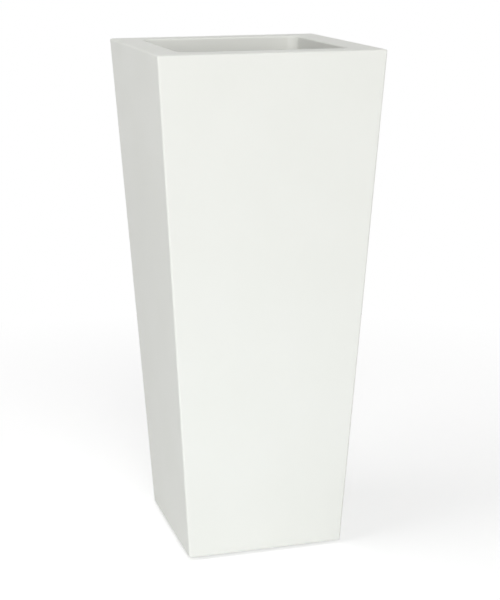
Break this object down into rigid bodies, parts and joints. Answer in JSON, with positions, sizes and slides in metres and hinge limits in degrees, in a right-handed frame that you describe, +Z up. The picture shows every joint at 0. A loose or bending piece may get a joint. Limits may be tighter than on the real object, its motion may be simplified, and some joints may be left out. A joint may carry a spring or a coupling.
{
  "type": "tall tapered planter",
  "caption": "Tall square planter that tapers to a narrower base, smooth white moulded walls, broad flat rim with a downturned inner lip, loose planting shelf inside.",
  "frame": {"origin": "on the floor, under the middle of the base", "axes": "+Z up, front face towards -Y, +X to the right as seen from the front"},
  "size_m": [0.3996, 0.3996, 0.914],
  "materials": {
    "gelcoat": "satin",
    "flowcoat": "satin",
    "shelf_board": "matte",
    "plywood": "matte",
    "batten": "matte",
    "bush": "satin",
    "rubber": "matte",
    "stainless": "satin"
  },
  "bodies": {
    "planter": {"outer_shell": "gelcoat", "rim_cap": "gelcoat", "rim_stiffener_right": "batten", "rim_stiffener_back": "batten", "rim_stiffener_left": "batten", "rim_stiffener_front": "batten", "base_board": "plywood", "floor_laminate": "flowcoat", "drain_bush": "bush", "shelf_ledge_right": "flowcoat", "shelf_ledge_back": "flowcoat", "shelf_ledge_left": "flowcoat", "shelf_ledge_front": "flowcoat", "foot_pad_front_left": "rubber", "foot_pad_front_right": "rubber", "foot_pad_back_right": "rubber", "foot_pad_back_left": "rubber", "foot_screws": "stainless"},
    "shelf": {"planting_shelf": "shelf_board"},
    "plug": {"drain_plug": "rubber"}
  },
  "joints": [
    {"name": "shelf_lift", "type": "slide", "parent": "planter", "child": "shelf", "axis": [0, 0, 1], "range_m": [0, 0.38]},
    {"name": "plug_pull", "type": "slide", "parent": "planter", "child": "plug", "axis": [0, 0, -1], "range_m": [0, 0.035]}
  ]
}
